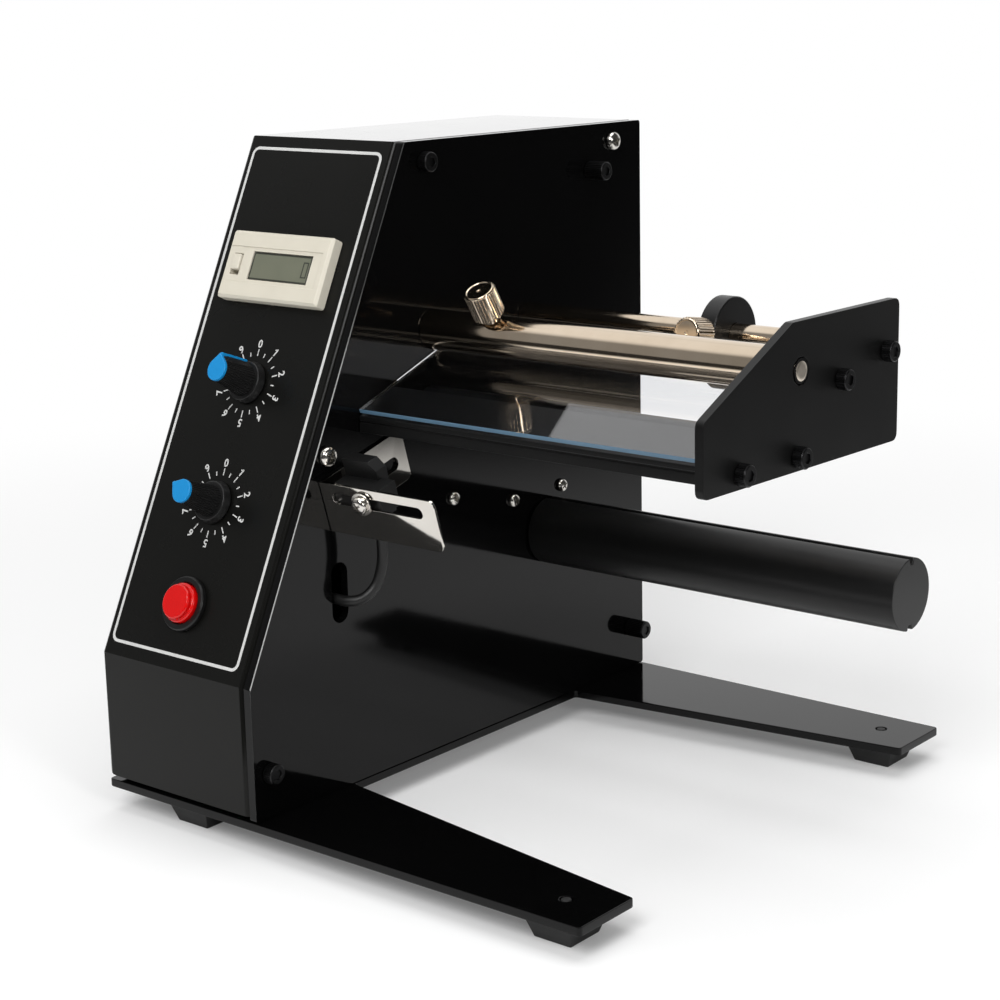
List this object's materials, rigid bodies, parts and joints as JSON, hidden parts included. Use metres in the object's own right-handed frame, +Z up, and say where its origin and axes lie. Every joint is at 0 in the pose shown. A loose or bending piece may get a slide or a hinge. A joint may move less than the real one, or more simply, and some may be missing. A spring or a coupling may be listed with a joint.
{
  "type": "label dispenser machine",
  "caption": "Bench label dispenser: sloped control housing, overhung bay with hold-down sheet, guide and peel platform, sensor bracket and motor-driven take-up spindle.",
  "frame": {"origin": "centre of the bounding box's underside, on the table under the feet", "axes": "+Z up, +X from the housing towards the outer plate, +Y from the front to the back"},
  "size_m": [0.2274, 0.2162, 0.2275],
  "materials": {
    "gloss_black_steel": "high gloss black",
    "satin_black_cover": "satin black",
    "satin_black_plate": "satin black",
    "black_anodised": "satin black anodised",
    "nickel": "polished nickel plate",
    "screw_nickel": "nickel plate",
    "black_oxide": "black oxide",
    "stainless": "polished stainless",
    "steel": "machined",
    "bronze": "sintered",
    "black_rubber": "matte",
    "lead_sheath": "satin",
    "black_plastic": "satin moulded",
    "cream_plastic": "moulded",
    "display": "reflective display",
    "blue_plastic": "moulded",
    "red_plastic": "glossy",
    "clear_sheet": "clear polycarbonate",
    "board": "circuit board"
  },
  "bodies": {
    "chassis": {"base_plate": "gloss_black_steel", "side_plate": "gloss_black_steel", "housing_cover": "satin_black_cover", "foot_front_right": "black_rubber", "foot_rear_right": "black_rubber", "foot_front_left": "black_rubber", "foot_rear_left": "black_rubber", "outer_plate": "satin_black_plate", "hold_down_shaft": "nickel", "guide_rod": "nickel", "support_rod": "nickel", "tie_bar": "satin_black_plate", "platform_bar": "satin_black_plate", "spindle_bearing": "bronze", "motor_bracket": "steel", "gear_motor": "steel", "counter_housing": "cream_plastic", "counter_display": "display", "upper_potentiometer": "steel", "lower_potentiometer": "steel", "button_bezel": "black_plastic", "sensor_bracket_screw": "black_oxide", "sensor_lead": "lead_sheath", "control_board": "board", "power_inlet": "black_plastic", "outer_plate_screw_support": "black_oxide", "outer_plate_screw_guide": "black_oxide", "outer_plate_screw_tie": "black_oxide", "outer_plate_screw_platform": "black_oxide", "side_plate_screw_top_front": "black_oxide", "side_plate_screw_top_rear": "black_oxide", "side_plate_screw_bottom_front": "black_oxide", "side_plate_screw_bottom_rear": "black_oxide", "cover_screw_top": "screw_nickel", "cover_screw_front": "screw_nickel", "motor_screw_front": "screw_nickel", "motor_screw_middle": "screw_nickel", "motor_screw_rear": "screw_nickel"},
    "hold_down": {"hold_down_tube": "nickel", "hold_down_sheet": "clear_sheet"},
    "hold_down_lock": {"hold_down_thumbscrew": "nickel"},
    "guide": {"guide_disc": "black_anodised"},
    "guide_lock": {"guide_thumbscrew": "nickel"},
    "collar": {"stop_collar": "black_anodised"},
    "spindle": {"take_up_spindle": "black_anodised", "spindle_shaft": "steel", "spindle_gear": "steel"},
    "pinion": {"motor_pinion": "steel"},
    "upper_dial": {"upper_potentiometer_shaft": "steel", "upper_knob": "black_plastic", "upper_knob_cap": "blue_plastic"},
    "lower_dial": {"lower_potentiometer_shaft": "steel", "lower_knob": "black_plastic", "lower_knob_cap": "blue_plastic"},
    "push_button": {"button_cap": "red_plastic"},
    "counter_reset": {"counter_reset_button": "cream_plastic"},
    "sensor_arm": {"sensor_bracket": "stainless"},
    "sensor_unit": {"sensor": "black_plastic", "sensor_screw": "screw_nickel"}
  },
  "joints": [
    {"name": "hold_down_lift", "type": "hinge", "parent": "chassis", "child": "hold_down", "pos_m": [0.0323, -0.01545, 0.1631], "axis": [-1, 0, 0], "range_deg": [0, 60]},
    {"name": "hold_down_lock_turn", "type": "hinge", "parent": "hold_down", "child": "hold_down_lock", "pos_m": [-0.0107, -0.01905, 0.1691], "axis": [0, -0.515, 0.8572], "range_deg": [0, 360]},
    {"name": "guide_slide", "type": "slide", "parent": "chassis", "child": "guide", "axis": [1, 0, 0], "range_m": [-0.072, 0.004]},
    {"name": "guide_lock_turn", "type": "hinge", "parent": "guide", "child": "guide_lock", "pos_m": [0.0473, 0.0222, 0.16424], "axis": [0, -0.9888, 0.1495], "range_deg": [0, 360]},
    {"name": "collar_slide", "type": "slide", "parent": "chassis", "child": "collar", "axis": [1, 0, 0], "range_m": [-0.004, 0.034]},
    {"name": "spindle_turn", "type": "hinge", "parent": "chassis", "child": "spindle", "pos_m": [0.0323, 0.04595, 0.0793], "axis": [1, 0, 0], "continuous": true},
    {"name": "pinion_turn", "type": "hinge", "parent": "chassis", "child": "pinion", "pos_m": [-0.0607, 0.01588, 0.09025], "axis": [1, 0, 0], "continuous": true},
    {"name": "upper_dial_turn", "type": "hinge", "parent": "chassis", "child": "upper_dial", "pos_m": [-0.0797, -0.06505, 0.14762], "axis": [0, -0.9021, 0.4314], "range_deg": [0, 300]},
    {"name": "lower_dial_turn", "type": "hinge", "parent": "chassis", "child": "lower_dial", "pos_m": [-0.0797, -0.0833, 0.10946], "axis": [0, -0.9021, 0.4314], "range_deg": [-54, 246]},
    {"name": "push_button_press", "type": "slide", "parent": "chassis", "child": "push_button", "axis": [0, 0.9021, -0.4314], "range_m": [0, 0.002], "stiffness_N_per_m": 400, "springref_m": -0.001},
    {"name": "counter_reset_press", "type": "slide", "parent": "chassis", "child": "counter_reset", "axis": [0, 0.9021, -0.4314], "range_m": [0, 0.0006], "stiffness_N_per_m": 400, "springref_m": -0.001},
    {"name": "sensor_arm_slide", "type": "slide", "parent": "chassis", "child": "sensor_arm", "axis": [0, 0.9613, 0.2756], "range_m": [-0.01, 0.01], "deforming": ["sensor_lead"]},
    {"name": "sensor_slide", "type": "slide", "parent": "sensor_arm", "child": "sensor_unit", "axis": [1, 0, 0], "range_m": [-0.002, 0.023], "deforming": ["sensor_lead"]}
  ],
  "couplings": [
    {"joint": "pinion_turn", "follows": "spindle_turn", "ratio": -3}
  ]
}
